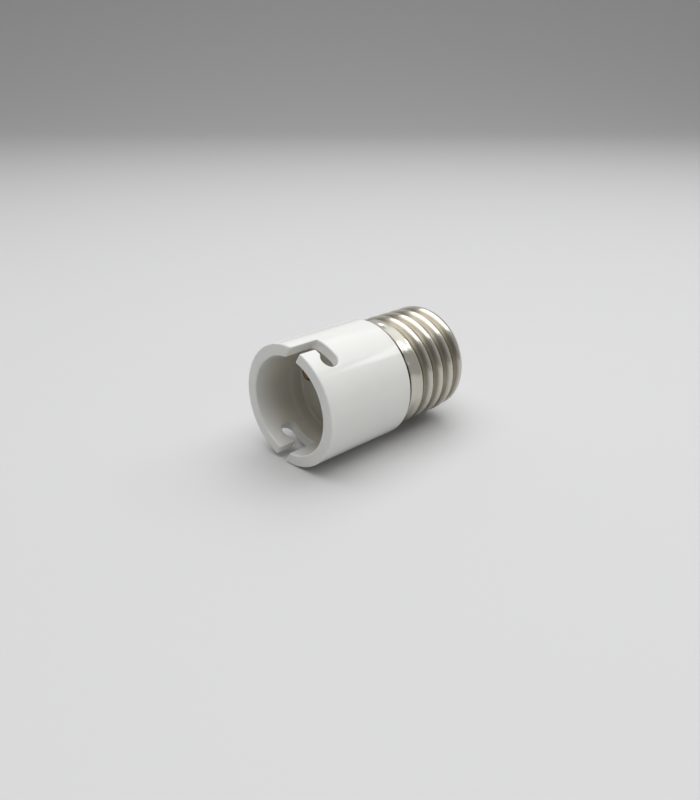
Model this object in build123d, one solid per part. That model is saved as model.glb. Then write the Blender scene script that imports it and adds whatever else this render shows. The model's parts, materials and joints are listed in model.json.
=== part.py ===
from build123d import *
import math
import os

# Screw-to-bayonet lamp socket adapter, lying on its side as it comes to rest.
# Each piece is drawn about its own axis, with z running from the socket's mouth to the screw end,
# and is laid down at the end. Angles go round that axis, from the top of the lying part.
# All sizes are in millimetres and degrees.

# Barrel
BARREL_DIAMETER = 28.0
BARREL_LENGTH = 24.3
RIM_CHAMFER = 0.4

# Bayonet socket: a bore for the lamp's cap, a little closer below the plunger tips to steady it
SOCKET_DIAMETER = 22.5
SOCKET_BORE_DEPTH = 9.7
SOCKET_FLOOR_DIAMETER = 22.16
SOCKET_DEPTH = 13.6
MOUTH_CHAMFER = 0.45

# Bayonet slots, drawn flat: across the slot from the lamp pin's locked place, and down from the rim
SLOT_COUNT = 2
SLOT_ANGLE = 33.0
ENTRY_OFFSET = 4.9
ENTRY_WIDTH = 2.65
LEG_WIDTH = 3.0
LEG_BACK_DEPTH = 7.5
POCKET_RADIUS = 1.95
SLOT_CORNER_RADIUS = 0.35

# Partition behind the socket, the spring guides bored in the block behind it, and the neck
PARTITION_THICKNESS = 2.7
GUIDE_LENGTH = 6.1
NECK_WALL = 2.3
NECK_LENGTH = 2.2
NECK_CLEARANCE = 0.05

# Screw cap, drawn from sheet, with flat facets round it
CAP_DIAMETER = 26.3
CAP_SHEET = 0.2
CAP_LENGTH = 20.7
CAP_GAP = 0.3
CAP_END_RADIUS = 2.5
CAP_LIP_DIAMETER = 17.4
CAP_FACETS = 36
CAP_END_FACETS = 3

# Rolled thread: one groove wound behind the plain collar, faded in and out over parts of a turn
THREAD_PITCH = 3.629
THREAD_DEPTH = 1.05
THREAD_CREST_WIDTH = 0.63
THREAD_ROOT_WIDTH = 0.9
THREAD_LEAD = 1.85
THREAD_END_MARGIN = 0.5
THREAD_RUN_IN = 0.92
THREAD_RUN_OUT = 0.4
THREAD_SHALLOW_WIDTH = 0.2

# Insulator in the cap's end
INSULATOR_CLEARANCE = 0.1
INSULATOR_FLANGE = 0.8
INSULATOR_WEB = 1.2
INSULATOR_WALL = 1.0
NOSE_HEIGHT = 4.0
NOSE_TIP_DIAMETER = 11.2

# Centre contact, riveted through the insulator
CONTACT_DIAMETER = 6.6
CONTACT_HEIGHT = 0.7
CONTACT_BEVEL = 0.3
RIVET_DIAMETER = 2.4
RIVET_HEAD_DIAMETER = 4.0
RIVET_HEAD_HEIGHT = 0.4
RIVET_CLEARANCE = 0.05

# Plungers and their springs
PLUNGER_OFFSET = 6.2
PLUNGER_TIP_DIAMETER = 4.0
PLUNGER_TIP_DEPTH = 10.1
PLUNGER_TIP_BEVEL = 0.5
PLUNGER_COLLAR_DIAMETER = 5.2
PLUNGER_COLLAR_HEIGHT = 1.0
PLUNGER_CLEARANCE = 0.1
COLLAR_CLEARANCE = 0.25
SEAT_GAP = 0.05
SPRING_DIAMETER = 4.5
SPRING_WIRE_WIDTH = 0.3
SPRING_WIRE_HEIGHT = 0.6
SPRING_TURNS = 2.0

# Folded brass strips
STRIP_THICKNESS = 0.25
STRIP_WIDTH = 3.0
STRIP_CLEARANCE = 0.1
STRIP_FOOT_OFFSET = 2.8
STRIP_TAB_OVERHANG = 0.5

# Places that follow from the sizes
barrel_radius = BARREL_DIAMETER / 2
cap_radius = CAP_DIAMETER / 2
cap_start = BARREL_LENGTH + CAP_GAP
cap_end = cap_start + CAP_LENGTH
collar_bore_radius = (cap_radius - CAP_SHEET) * math.cos(math.pi / CAP_FACETS)
first_root = cap_start + THREAD_LEAD
thread_turns = (cap_end - CAP_END_RADIUS - THREAD_END_MARGIN - first_root) / THREAD_PITCH
nose_end = cap_end + NOSE_HEIGHT
web_inner = nose_end - INSULATOR_WEB
overall_length = nose_end + CONTACT_HEIGHT
partition_back = SOCKET_DEPTH + PARTITION_THICKNESS
guide_end = partition_back + GUIDE_LENGTH
guide_bore_radius = PLUNGER_COLLAR_DIAMETER / 2 + COLLAR_CLEARANCE
neck_end = BARREL_LENGTH + NECK_LENGTH
neck_radius = collar_bore_radius - NECK_CLEARANCE
neck_bore_radius = neck_radius - NECK_WALL
plunger_collar_start = partition_back + SEAT_GAP
plunger_collar_end = plunger_collar_start + PLUNGER_COLLAR_HEIGHT
strip_reach = math.sqrt((neck_bore_radius - STRIP_CLEARANCE) ** 2 - (STRIP_WIDTH / 2) ** 2)
strip_leg_offset = strip_reach - STRIP_THICKNESS / 2
tab_reach = math.sqrt((collar_bore_radius - STRIP_CLEARANCE) ** 2 - (STRIP_WIDTH / 2) ** 2)
slot_spacing = 360 / SLOT_COUNT
plunger_angles = {"left": SLOT_ANGLE - 90, "right": SLOT_ANGLE + 90}
FROM_BELOW = (Align.CENTER, Align.CENTER, Align.MIN)

# Laid on its side: the axis level, the socket's mouth to the front, on the barrel's lowest line
LYING = Pos(0, -overall_length / 2, barrel_radius) * Rot(-90, 0, 0)


def outward(angle):
    """Unit vector away from the axis at an angle from the top."""
    turn = math.radians(angle)
    return Vector(math.sin(turn), -math.cos(turn), 0)


def beside_axis(angle, place):
    """Location on a plunger's line at a place along the axis."""
    spot = outward(angle) * PLUNGER_OFFSET
    return Pos(spot.X, spot.Y, place)


def turned(*points):
    """Turned solid from a closed outline of radius and place points, its seam along the underside."""
    return revolve(Plane.YZ * make_face(Polyline(*points, close=True)), Axis.Z)


def bayonet_slot(index):
    """Cutter for one bayonet slot: straight entry, sideways leg and the locked pin's pocket."""
    out = outward(SLOT_ANGLE + index * slot_spacing)
    flat = Plane(origin=(0, 0, 0), x_dir=Vector(0, 0, 1).cross(out), z_dir=out)
    entry_left = -ENTRY_OFFSET - ENTRY_WIDTH / 2
    entry_right = -ENTRY_OFFSET + ENTRY_WIDTH / 2
    leg_front = LEG_BACK_DEPTH - LEG_WIDTH
    outline = Polyline(
        (entry_left, -ENTRY_WIDTH),
        (entry_right, -ENTRY_WIDTH),
        (entry_right, leg_front),
        (0, leg_front),
        (0, LEG_BACK_DEPTH),
        (entry_left, LEG_BACK_DEPTH),
        close=True,
    )
    leg = make_face(outline)
    keeper = leg.vertices().sort_by_distance((entry_right, leg_front, 0))[0]
    leg = fillet(keeper, SLOT_CORNER_RADIUS)
    pocket = Pos(0, LEG_BACK_DEPTH - POCKET_RADIUS) * Circle(POCKET_RADIUS)
    return extrude(flat * (leg + pocket), BARREL_DIAMETER)


def make_holder_body():
    """White moulding: barrel with its socket and slots, bored guide block and neck."""
    socket_radius = SOCKET_DIAMETER / 2
    body = turned(
        (0, SOCKET_DEPTH),
        (SOCKET_FLOOR_DIAMETER / 2, SOCKET_DEPTH),
        (SOCKET_FLOOR_DIAMETER / 2, SOCKET_BORE_DEPTH),
        (socket_radius, SOCKET_BORE_DEPTH),
        (socket_radius, MOUTH_CHAMFER),
        (socket_radius + MOUTH_CHAMFER, 0),
        (barrel_radius - RIM_CHAMFER, 0),
        (barrel_radius, RIM_CHAMFER),
        (barrel_radius, BARREL_LENGTH),
        (neck_radius, BARREL_LENGTH),
        (neck_radius, neck_end),
        (neck_bore_radius, neck_end),
        (neck_bore_radius, guide_end),
        (0, guide_end),
    )
    for angle in plunger_angles.values():
        bore = Cylinder(guide_bore_radius, GUIDE_LENGTH, align=FROM_BELOW)
        body -= beside_axis(angle, partition_back) * bore
        hole_radius = PLUNGER_TIP_DIAMETER / 2 + PLUNGER_CLEARANCE
        hole = Cylinder(hole_radius, PARTITION_THICKNESS, align=FROM_BELOW)
        body -= beside_axis(angle, SOCKET_DEPTH) * hole
    for index in range(SLOT_COUNT):
        body -= bayonet_slot(index)
    return body - strip_notch()


def strip_notch():
    """Notch across the neck's end for the shell strip's tab."""
    width = STRIP_WIDTH + 2 * STRIP_CLEARANCE
    middle = (neck_radius + neck_bore_radius) / 2
    notch = Box(2 * NECK_WALL, width, 2 * STRIP_THICKNESS)
    return Rot(0, 0, plunger_angles["right"] - 90) * Pos(middle, 0, neck_end) * notch


def eased(share):
    """Smooth step from zero to one."""
    share = min(max(share, 0), 1)
    return share * share * (3 - 2 * share)


def groove_depth(turns):
    """Share of the thread's full depth at a number of turns from the groove's start."""
    return eased(turns / THREAD_RUN_IN) * (1 - eased((turns - thread_turns) / THREAD_RUN_OUT + 1))


def cap_line(sheet, turns, wound):
    """Line along the cap's outside, or its inside when set in by the sheet, at a share of a turn.

    Each point has its order, radius and place. The groove's corners are ordered by their windings,
    less the windings already wound, so that a groove runs on past the end of a turn.
    """
    radius = cap_radius - sheet
    groove_half = (THREAD_PITCH - THREAD_CREST_WIDTH) / 2
    root_half = THREAD_ROOT_WIDTH / 2
    flank = math.atan2(THREAD_DEPTH, groove_half - root_half)
    widened = sheet * math.tan(flank / 2)
    windings = math.ceil(thread_turns)
    line = [(-math.inf, radius, cap_start)]
    for winding in range(windings):
        depth = groove_depth(winding + turns)
        if depth == 0:
            continue
        place = first_root + THREAD_PITCH * (winding + turns)
        width = THREAD_SHALLOW_WIDTH + (1 - THREAD_SHALLOW_WIDTH) * depth
        edge = groove_half * width + widened
        root = root_half * width + widened
        bottom = radius - THREAD_DEPTH * depth
        corners = [(radius, -edge), (bottom, -root), (bottom, root), (radius, edge)]
        for number, (across, along) in enumerate(corners):
            order = winding - wound + number / len(corners)
            line.append((order, across, place + along))
    rounding = CAP_END_RADIUS - sheet
    for step in range(CAP_END_FACETS + 1):
        turn = math.pi / 2 * step / CAP_END_FACETS
        across = cap_radius - CAP_END_RADIUS + rounding * math.cos(turn)
        along = cap_end - CAP_END_RADIUS + rounding * math.sin(turn)
        line.append((windings + step, across, along))
    line.append((math.inf, CAP_LIP_DIAMETER / 2, cap_end - sheet))
    return line


def cap_section(step):
    """Closed line round the cap's sheet at one facet edge: out to the lip and back inside."""
    wound, step_in_turn = divmod(step, CAP_FACETS)
    turns = step_in_turn / CAP_FACETS
    out = outward(360 * turns)
    section = []
    for order, across, along in cap_line(0, turns, wound):
        section.append((("1 outside", order), out * across + Vector(0, 0, along)))
    for order, across, along in reversed(cap_line(CAP_SHEET, turns, wound)):
        section.append((("2 inside", -order), out * across + Vector(0, 0, along)))
    start = section[0][1]
    section.append((("3 closed", 0), start))
    return section


def facets_between(left, right):
    """Flat triangles between two neighbouring sections, joined in order."""
    facets = []
    while len(left) + len(right) > 2:
        corners = [left[0][1], right[0][1]]
        if len(right) == 1 or (len(left) > 1 and left[1][0] <= right[1][0]):
            left = left[1:]
            corners.append(left[0][1])
        else:
            right = right[1:]
            corners.append(right[0][1])
        facets.append(Face(Wire.make_polygon(corners)))
    return facets


def make_screw_cap():
    """Thin drawn shell with its rolled thread, rounded end and turned-in lip."""
    sections = [cap_section(step) for step in range(CAP_FACETS + 1)]
    facets = []
    for left, right in zip(sections, sections[1:]):
        facets += facets_between(left, right)
    return Solid(Shell(facets))


def make_end_insulator():
    """White plug with a hollow conical nose, seated inside the cap's lip."""
    flange_radius = cap_radius - CAP_END_RADIUS
    shoulder = cap_end - CAP_SHEET - INSULATOR_CLEARANCE
    nose_radius = CAP_LIP_DIAMETER / 2 - INSULATOR_CLEARANCE
    tip_radius = NOSE_TIP_DIAMETER / 2
    taper = (nose_radius - tip_radius) / (nose_end - shoulder)
    web_radius = nose_radius - taper * (web_inner - shoulder) - INSULATOR_WALL
    hole_radius = RIVET_DIAMETER / 2 + RIVET_CLEARANCE
    return turned(
        (nose_radius - INSULATOR_WALL, shoulder - INSULATOR_FLANGE),
        (flange_radius, shoulder - INSULATOR_FLANGE),
        (flange_radius, shoulder),
        (nose_radius, shoulder),
        (tip_radius, nose_end),
        (hole_radius, nose_end),
        (hole_radius, web_inner),
        (web_radius, web_inner),
    )


def make_centre_contact():
    """Button with its rivet shank, closed over the centre strip inside."""
    head_end = web_inner - STRIP_THICKNESS
    head_start = head_end - RIVET_HEAD_HEIGHT
    button_radius = CONTACT_DIAMETER / 2
    return turned(
        (0, head_start),
        (RIVET_HEAD_DIAMETER / 2, head_start),
        (RIVET_HEAD_DIAMETER / 2, head_end),
        (RIVET_DIAMETER / 2, head_end),
        (RIVET_DIAMETER / 2, nose_end),
        (button_radius, nose_end),
        (button_radius, overall_length - CONTACT_BEVEL),
        (button_radius - CONTACT_BEVEL, overall_length),
        (0, overall_length),
    )


def make_plunger(angle):
    """Turned contact pin with a collar behind the partition that its spring pushes on."""
    tip_radius = PLUNGER_TIP_DIAMETER / 2
    collar_radius = PLUNGER_COLLAR_DIAMETER / 2
    pin = turned(
        (0, PLUNGER_TIP_DEPTH),
        (tip_radius - PLUNGER_TIP_BEVEL, PLUNGER_TIP_DEPTH),
        (tip_radius, PLUNGER_TIP_DEPTH + PLUNGER_TIP_BEVEL),
        (tip_radius, plunger_collar_start),
        (collar_radius, plunger_collar_start),
        (collar_radius, plunger_collar_end),
        (0, plunger_collar_end),
    )
    return beside_axis(angle, 0) * pin


def make_spring(angle):
    """Coil spring of flat wire between a plunger's collar and the strip behind it."""
    start = plunger_collar_end + SEAT_GAP + SPRING_WIRE_HEIGHT / 2
    length = guide_end - SEAT_GAP - SPRING_WIRE_HEIGHT / 2 - start
    coil = Edge.make_helix(length / SPRING_TURNS, length, (SPRING_DIAMETER - SPRING_WIRE_WIDTH) / 2)
    section = Plane(origin=coil @ 0, x_dir=(1, 0, 0), z_dir=coil % 0)
    wire = section * Rectangle(SPRING_WIRE_WIDTH, SPRING_WIRE_HEIGHT)
    return beside_axis(angle, start) * sweep(wire, path=coil, is_frenet=True)


def folded_strip(angle, *points):
    """Strip folded along a line of radius and place points, in the plane of an angle."""
    fold = Wire.make_polygon([Vector(*point) for point in points], close=False)
    outline = offset(fold, STRIP_THICKNESS / 2, kind=Kind.INTERSECTION)
    strip = extrude(make_face(outline), STRIP_WIDTH / 2, both=True)
    return Rot(0, 0, angle - 90) * (Plane.XZ * strip)


def make_centre_strip():
    """Strip from the left spring to the centre contact's rivet."""
    foot = guide_end + STRIP_THICKNESS / 2
    tab = web_inner - STRIP_THICKNESS / 2
    tab_end = -RIVET_HEAD_DIAMETER / 2 - STRIP_TAB_OVERHANG
    strip = folded_strip(
        plunger_angles["left"],
        (strip_leg_offset, foot),
        (STRIP_FOOT_OFFSET, foot),
        (STRIP_FOOT_OFFSET, tab),
        (tab_end, tab),
    )
    hole = Cylinder(RIVET_DIAMETER / 2 + RIVET_CLEARANCE, 4 * STRIP_THICKNESS)
    return strip - Pos(0, 0, tab) * hole


def make_shell_strip():
    """Strip from the right spring, up the neck and over its end to the screw cap."""
    foot = guide_end + STRIP_THICKNESS / 2
    tab = neck_end - STRIP_THICKNESS / 2
    return folded_strip(
        plunger_angles["right"],
        (STRIP_FOOT_OFFSET, foot),
        (strip_leg_offset, foot),
        (strip_leg_offset, tab),
        (tab_reach - STRIP_THICKNESS / 2, tab),
    )


pieces = {
    "holder_body": make_holder_body(),
    "screw_cap": make_screw_cap(),
    "end_insulator": make_end_insulator(),
    "centre_contact": make_centre_contact(),
    "centre_strip": make_centre_strip(),
    "shell_strip": make_shell_strip(),
}
for side, angle in plunger_angles.items():
    pieces[f"plunger_{side}"] = make_plunger(angle)
    pieces[f"plunger_spring_{side}"] = make_spring(angle)

os.makedirs("parts", exist_ok=True)
for name, piece in pieces.items():
    export_step(LYING * piece, f"parts/{name}.step")
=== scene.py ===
"""Looks of a lamp socket adapter: a white moulded bayonet holder on a plated screw cap.

Sizes in the classes are in millimetres about the adapter's own axis, which lies level along the frame's
Y from the socket's mouth to the screw end. Angles go round that axis in degrees, from the top towards
the frame's X. Meshes are written in metres, in the shared frame, and the studio's sizes are in metres.
"""
import json
import logging
import math
from dataclasses import dataclass
from enum import Enum
from typing import Iterable, NamedTuple, Optional, Sequence, Union

import bpy
import numpy as np
from mathutils import Vector
from mathutils.geometry import delaunay_2d_cdt
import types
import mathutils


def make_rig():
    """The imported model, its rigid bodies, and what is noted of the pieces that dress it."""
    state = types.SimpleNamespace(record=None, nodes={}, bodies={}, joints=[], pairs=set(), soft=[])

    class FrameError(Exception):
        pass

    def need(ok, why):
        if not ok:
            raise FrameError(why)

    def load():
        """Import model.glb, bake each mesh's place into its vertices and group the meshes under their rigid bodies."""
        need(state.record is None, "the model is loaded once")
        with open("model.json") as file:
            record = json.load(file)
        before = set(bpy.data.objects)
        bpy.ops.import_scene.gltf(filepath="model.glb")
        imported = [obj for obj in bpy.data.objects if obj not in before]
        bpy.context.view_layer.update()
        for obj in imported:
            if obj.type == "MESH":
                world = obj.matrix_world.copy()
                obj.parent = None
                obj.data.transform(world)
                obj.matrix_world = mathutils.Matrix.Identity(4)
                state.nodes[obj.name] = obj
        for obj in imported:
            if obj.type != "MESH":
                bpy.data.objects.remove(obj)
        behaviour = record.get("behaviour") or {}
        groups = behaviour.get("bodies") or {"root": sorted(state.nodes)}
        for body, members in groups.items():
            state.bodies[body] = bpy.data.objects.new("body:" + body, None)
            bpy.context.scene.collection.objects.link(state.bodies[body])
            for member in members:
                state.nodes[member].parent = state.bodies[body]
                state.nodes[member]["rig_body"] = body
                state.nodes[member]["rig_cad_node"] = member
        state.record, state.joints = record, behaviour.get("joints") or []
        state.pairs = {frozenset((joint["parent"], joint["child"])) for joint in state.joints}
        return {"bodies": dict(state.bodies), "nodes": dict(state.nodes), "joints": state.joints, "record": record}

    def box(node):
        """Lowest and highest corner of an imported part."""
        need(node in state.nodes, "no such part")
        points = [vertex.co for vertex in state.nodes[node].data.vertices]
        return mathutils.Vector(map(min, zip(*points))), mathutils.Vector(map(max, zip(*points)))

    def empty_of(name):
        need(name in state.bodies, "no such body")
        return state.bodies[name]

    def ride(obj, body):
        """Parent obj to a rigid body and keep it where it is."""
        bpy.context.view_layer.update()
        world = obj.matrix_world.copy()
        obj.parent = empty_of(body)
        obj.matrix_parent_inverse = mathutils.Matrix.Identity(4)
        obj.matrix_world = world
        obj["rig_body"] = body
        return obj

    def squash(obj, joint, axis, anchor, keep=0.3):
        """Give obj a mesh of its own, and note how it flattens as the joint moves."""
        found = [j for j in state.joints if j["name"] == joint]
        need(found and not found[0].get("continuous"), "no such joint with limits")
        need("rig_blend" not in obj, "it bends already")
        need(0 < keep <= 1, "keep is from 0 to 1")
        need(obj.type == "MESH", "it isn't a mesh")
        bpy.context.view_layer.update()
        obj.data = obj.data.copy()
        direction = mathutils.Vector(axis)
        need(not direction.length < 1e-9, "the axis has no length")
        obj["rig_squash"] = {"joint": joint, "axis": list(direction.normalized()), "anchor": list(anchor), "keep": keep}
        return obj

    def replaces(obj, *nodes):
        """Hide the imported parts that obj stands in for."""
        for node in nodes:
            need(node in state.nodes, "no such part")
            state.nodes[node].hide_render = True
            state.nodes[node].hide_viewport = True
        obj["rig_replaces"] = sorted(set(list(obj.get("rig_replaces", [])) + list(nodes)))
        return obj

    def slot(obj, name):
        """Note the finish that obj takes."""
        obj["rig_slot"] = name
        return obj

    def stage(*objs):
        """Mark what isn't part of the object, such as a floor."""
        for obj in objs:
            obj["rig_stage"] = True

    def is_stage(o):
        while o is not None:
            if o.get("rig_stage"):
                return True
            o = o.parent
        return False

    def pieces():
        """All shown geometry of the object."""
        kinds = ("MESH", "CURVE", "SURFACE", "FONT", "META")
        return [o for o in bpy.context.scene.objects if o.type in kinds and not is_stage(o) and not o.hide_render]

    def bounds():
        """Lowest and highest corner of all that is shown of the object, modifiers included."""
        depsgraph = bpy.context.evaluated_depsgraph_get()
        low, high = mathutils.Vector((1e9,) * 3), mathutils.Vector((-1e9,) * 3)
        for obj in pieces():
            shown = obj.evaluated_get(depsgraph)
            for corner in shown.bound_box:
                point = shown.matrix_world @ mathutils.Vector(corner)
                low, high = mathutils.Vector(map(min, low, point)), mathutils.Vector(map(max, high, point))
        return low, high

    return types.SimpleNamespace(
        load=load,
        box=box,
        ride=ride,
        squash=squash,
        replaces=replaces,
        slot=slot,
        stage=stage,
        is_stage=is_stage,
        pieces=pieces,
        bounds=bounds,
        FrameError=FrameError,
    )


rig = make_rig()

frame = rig.load()
CAD_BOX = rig.bounds()

LOG = logging.getLogger("lamp_socket_adapter")
MM = 0.001
SIZE_FILE = "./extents.json"

# Points of a mesh that agree to so many digits of a metre are one point.
MERGE_DIGITS = 7
MERGE_DISTANCE = 10.0 ** -MERGE_DIGITS
# Points of a flat drawing that lie closer than this, in millimetres, are one point; its filling is finer.
SAME_SPOT = 1e-6
FILL_GAP = 1e-9
# Way of filling that divides the whole of an outline's hull into triangles.
HULL_TRIANGLES = 0
# Degrees between the points of a turned outline's rounding, and the fewest steps in any rounding.
ARC_STEP = 18.0
LEAST_ARC_STEPS = 2
# Sockets of a Mix node that blends colours: its factor, its two colours and its result.
MIX_FACTOR, MIX_LOW, MIX_HIGH, MIX_RESULT = 0, 6, 7, 2
# Level about which noise varies.
NOISE_MIDDLE = 0.5

Colour = tuple[float, float, float]
Place = tuple[float, float, float]
Flat = tuple[float, float]


class Body(Enum):
    """Bodies of the adapter that pieces ride on."""

    ADAPTER = "adapter"
    LEFT = "plunger_left"
    RIGHT = "plunger_right"


class Slot(Enum):
    """Material slots of the record."""

    PLASTIC = "white_plastic"
    CAP = "plated_cap"
    BRASS = "brass"
    STEEL = "spring_steel"


def add_object(name: str, data: bpy.types.ID) -> bpy.types.Object:
    """Add an object to the scene, at the origin.

    Args:
        name: the object's name.
        data: its mesh, lamp or camera.

    Returns:
        The object.
    """
    made = bpy.data.objects.new(name, data)
    bpy.context.scene.collection.objects.link(made)
    return made


class Field:
    """A number that varies over a surface: a node's socket on which plain arithmetic adds nodes."""

    def __init__(self, wiring: "Wiring", socket: bpy.types.NodeSocket) -> None:
        """Keep the socket and the tree that it belongs to."""
        self.wiring = wiring
        self.socket = socket

    def _math(self, operation: str, *values: "Number") -> "Field":
        """Add a Math node."""
        return self.wiring.node("ShaderNodeMath", {"operation": operation}, dict(enumerate(values)))

    def __add__(self, other: "Number") -> "Field":
        """Sum."""
        return self._math("ADD", self, other)

    def __radd__(self, other: float) -> "Field":
        """Sum with a plain number first."""
        return self._math("ADD", other, self)

    def __sub__(self, other: "Number") -> "Field":
        """Difference."""
        return self._math("SUBTRACT", self, other)

    def __rsub__(self, other: float) -> "Field":
        """Difference from a plain number."""
        return self._math("SUBTRACT", other, self)

    def __mul__(self, other: "Number") -> "Field":
        """Product."""
        return self._math("MULTIPLY", self, other)

    def __rmul__(self, other: float) -> "Field":
        """Product with a plain number first."""
        return self._math("MULTIPLY", other, self)

    def __truediv__(self, other: "Number") -> "Field":
        """Quotient."""
        return self._math("DIVIDE", self, other)

    def __rtruediv__(self, other: float) -> "Field":
        """Quotient of a plain number."""
        return self._math("DIVIDE", other, self)

    def __round__(self) -> "Field":
        """Nearest whole number."""
        return self._math("ROUND", self)

    def root(self) -> "Field":
        """Square root, of nothing less than zero."""
        return self._math("SQRT", self.at_least(0.0))

    def sine(self) -> "Field":
        """Sine of an angle in radians."""
        return self._math("SINE", self)

    def cosine(self) -> "Field":
        """Cosine of an angle in radians."""
        return self._math("COSINE", self)

    def at_least(self, other: "Number") -> "Field":
        """The greater of two numbers."""
        return self._math("MAXIMUM", self, other)

    def at_most(self, other: "Number") -> "Field":
        """The lesser of two numbers."""
        return self._math("MINIMUM", self, other)

    def ramp(self, start: "Number", end: "Number", low: "Number" = 0.0, high: "Number" = 1.0) -> "Field":
        """Ease from low to high between two values.

        Args:
            start: value at which the rise begins.
            end: value at which the rise is over.
            low: result up to the start.
            high: result from the end on.

        Returns:
            The eased number.
        """
        settings = {"interpolation_type": "SMOOTHSTEP"}
        sockets = {"Value": self, "From Min": start, "From Max": end, "To Min": low, "To Max": high}
        return self.wiring.node("ShaderNodeMapRange", settings, sockets)


Number = Union[Field, float]


class Wiring:
    """A node tree under construction."""

    def __init__(self, tree: bpy.types.NodeTree) -> None:
        """Keep the tree."""
        self.tree = tree

    def node(
        self,
        kind: str,
        settings: Optional[dict[str, object]] = None,
        sockets: Optional[dict[Union[int, str], object]] = None,
        output: Union[int, str] = 0,
    ) -> Field:
        """Add one node.

        Args:
            kind: the node's type name.
            settings: properties set first.
            sockets: values or fields of its inputs, by name or number.
            output: the output that is handed back.

        Returns:
            The node's output as a field.
        """
        made = self.tree.nodes.new(kind)
        for name, value in (settings or {}).items():
            setattr(made, name, value)
        for key, value in (sockets or {}).items():
            if isinstance(value, Field):
                self.feed(made.inputs[key], value)
            else:
                made.inputs[key].default_value = value
        return Field(self, made.outputs[output])

    def feed(self, socket: bpy.types.NodeSocket, value: Field) -> None:
        """Link a field to a node's input."""
        self.tree.links.new(value.socket, socket)

    def node_end(self, kind: str, value: Field) -> None:
        """Add the tree's closing node and feed it."""
        self.feed(self.tree.nodes.new(kind).inputs[0], value)

    def parts(self, vector: Field) -> list[Field]:
        """Take a vector apart along X, Y and Z."""
        return [self.node("ShaderNodeSeparateXYZ", None, {0: vector}, axis) for axis in "XYZ"]

    def mix(self, factor: Field, low: object, high: object) -> Field:
        """Blend two colours.

        Args:
            factor: zero for the first colour, one for the second.
            low: first colour, as numbers or a field.
            high: second colour, as numbers or a field.

        Returns:
            The blended colour.
        """
        first, second = (value if isinstance(value, Field) else (*value, 1.0) for value in (low, high))
        sockets = {MIX_FACTOR: factor, MIX_LOW: first, MIX_HIGH: second}
        return self.node("ShaderNodeMix", {"data_type": "RGBA"}, sockets, MIX_RESULT)

    def noise(self, scale: float, detail: float, stretch: Place = (1.0, 1.0, 1.0)) -> Field:
        """Soft noise on the piece's own coordinates.

        Args:
            scale: patches in a metre.
            detail: number of finer layers.
            stretch: scale along each axis.

        Returns:
            Noise between zero and one.
        """
        place = self.node("ShaderNodeTexCoord", output="Object")
        mapped = self.node("ShaderNodeMapping", None, {"Vector": place, "Scale": stretch})
        return self.node("ShaderNodeTexNoise", None, {"Vector": mapped, "Scale": scale, "Detail": detail})

    def attribute(self, name: str) -> Field:
        """Number that the piece's own mesh carries."""
        return self.node("ShaderNodeAttribute", {"attribute_name": name}, output="Fac")


class Surface(NamedTuple):
    """What a finish feeds to the shader where it varies."""

    colour: Field
    roughness: Field
    relief: Field


@dataclass(frozen=True)
class Finish:
    """Base of a finish: a shader whose colour, roughness and relief vary over the piece."""

    name: str
    colour: Colour
    roughness: float
    metallic: float = 1.0
    relief_depth: float = 0.01
    relief_strength: float = 0.15

    def surface(self, wiring: Wiring) -> Surface:
        """Work out what varies; each finish has its own."""
        raise NotImplementedError

    def material(self) -> bpy.types.Material:
        """Build the material once.

        Returns:
            The material, made on the first call.
        """
        known = bpy.data.materials.get(self.name)
        if known is not None:
            return known
        made = bpy.data.materials.new(self.name)
        made.use_nodes = True
        made.diffuse_color = (*self.colour, 1.0)
        wiring = Wiring(made.node_tree)
        shader = made.node_tree.nodes["Principled BSDF"]
        surface = self.surface(wiring)
        depth = self.relief_depth * MM
        sockets = {"Height": surface.relief, "Strength": self.relief_strength, "Distance": depth}
        wiring.feed(shader.inputs["Base Color"], surface.colour)
        wiring.feed(shader.inputs["Roughness"], surface.roughness)
        wiring.feed(shader.inputs["Normal"], wiring.node("ShaderNodeBump", None, sockets))
        shader.inputs["Metallic"].default_value = self.metallic
        return made


@dataclass(frozen=True)
class MouldedPlastic(Finish):
    """White moulded plastic with a faint mottle, the fine skin of a polished mould and painted shade that darkens it
    down the socket.
    """

    metallic: float = 0.0
    relief_depth: float = 0.02
    relief_strength: float = 0.10
    shade: Colour = (0.785, 0.785, 0.758)
    mottle_scale: float = 160.0
    mottle_detail: float = 4.0
    mottle_span: Flat = (0.30, 0.75)
    mottle_roughness: float = 0.04
    skin_scale: float = 2600.0
    skin_detail: float = 2.0
    # Painted shade: the socket's wall and floor are tinted towards this darker colour with depth from the mouth.
    socket_shade_colour: Colour = (0.60, 0.57, 0.50)
    axis_height: float = 14.0
    socket_wall: Flat = (11.3, 11.7)
    socket_shade_span: Flat = (-25.0, -17.0)
    socket_end: Flat = (-11.2, -10.8)

    def surface(self, wiring: Wiring) -> Surface:
        """Mottled white with an uneven polish, darkened by painted shade down the socket.

        Args:
            wiring: the material's tree.

        Returns:
            What varies over the plastic.
        """
        mottle = wiring.noise(self.mottle_scale, self.mottle_detail)
        skin = wiring.noise(self.skin_scale, self.skin_detail)
        white = wiring.mix(mottle.ramp(*self.mottle_span), self.colour, self.shade)
        # Painted shade darkens the white down the socket.
        colour = wiring.mix(self._socket_shade(wiring), white, self.socket_shade_colour)
        roughness = self.roughness + (mottle - NOISE_MIDDLE) * self.mottle_roughness
        return Surface(colour, roughness, skin)

    def _socket_shade(self, wiring: Wiring) -> Field:
        """How far a place lies down the socket, where painted shade darkens the plastic.

        Args:
            wiring: the material's tree.

        Returns:
            Zero outside the socket and at its mouth, one deep inside.
        """
        place = wiring.node("ShaderNodeTexCoord", output="Object")
        across, along, up = (part / MM for part in wiring.parts(place))
        up = up - self.axis_height
        away = (across * across + up * up).root()
        within = (1.0 - away.ramp(*self.socket_wall)) * (1.0 - along.ramp(*self.socket_end))
        return within * along.ramp(*self.socket_shade_span)


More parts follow.
